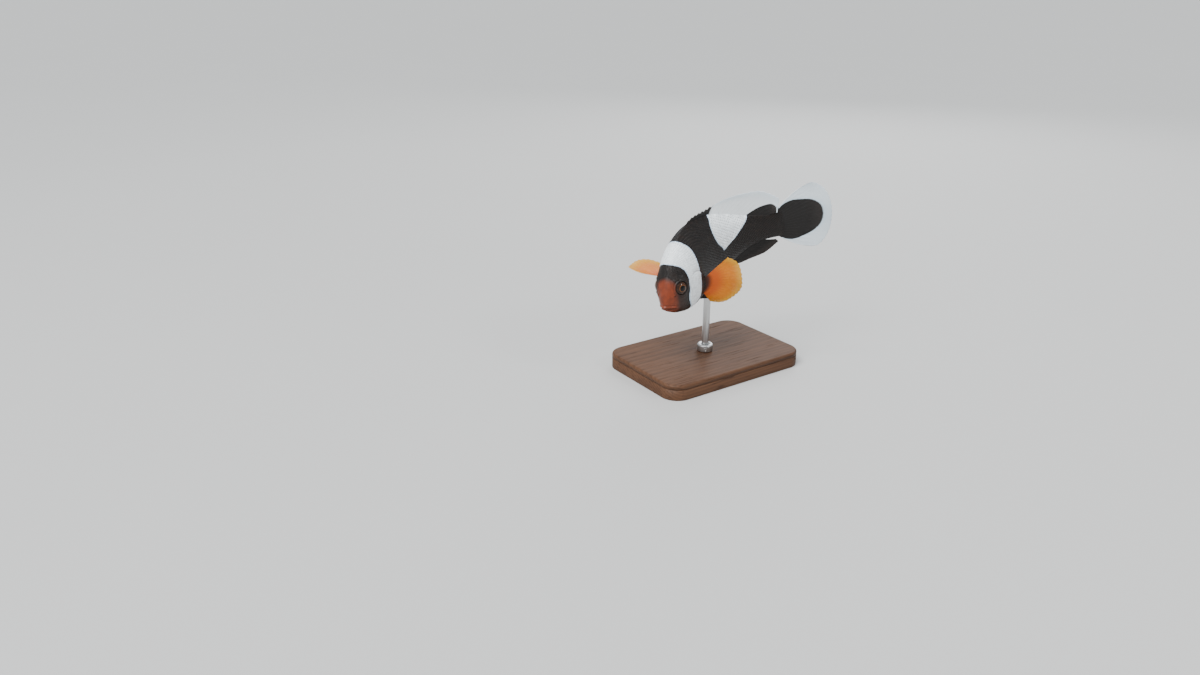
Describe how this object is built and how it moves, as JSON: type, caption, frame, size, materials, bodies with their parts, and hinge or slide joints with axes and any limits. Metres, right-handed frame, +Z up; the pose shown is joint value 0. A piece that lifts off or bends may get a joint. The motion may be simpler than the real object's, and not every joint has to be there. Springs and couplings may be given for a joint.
{
  "type": "saddleback clownfish on a display stand",
  "caption": "Saddleback clownfish at life size, dark with a white head band and white saddle, turning with its nose down, held by a rod over a flat wooden base.",
  "frame": {"origin": "centre of the stand base's underside", "axes": "+Z up; -Y the way the fish faces from tail to snout; +X to the fish's left"},
  "size_m": [0.0641, 0.1115, 0.1072],
  "materials": {
    "skin_dark": "wet-looking scaled skin, black with a brown cast",
    "skin_face": "smooth skin, red-orange brown",
    "skin_white": "scaled skin, white with a faint blue edge",
    "fin_dark": "rayed fin skin, black",
    "fin_white": "rayed fin skin, white",
    "fin_orange": "rayed fin skin, orange",
    "eye": "clear domed eye over a dark iris",
    "stand_wood": "dark oiled hardwood",
    "stand_steel": "brushed"
  },
  "bodies": {
    "root": {"head": "skin_face", "lower_jaw": "skin_face", "gill_cover_left": "skin_white", "gill_cover_right": "skin_white", "eye_left": "eye", "eye_right": "eye", "trunk": "skin_dark", "tail_stem": "skin_dark", "back_fin_spiny": "fin_dark", "back_fin_soft": "fin_white", "anal_fin": "fin_dark", "tail_fin": "fin_dark", "pectoral_fin_left": "fin_orange", "pectoral_fin_right": "fin_orange", "pelvic_fin_left": "fin_dark", "pelvic_fin_right": "fin_dark", "stand_base": "stand_wood", "stand_rod": "stand_steel", "stand_collar": "stand_steel"}
  },
  "joints": []
}
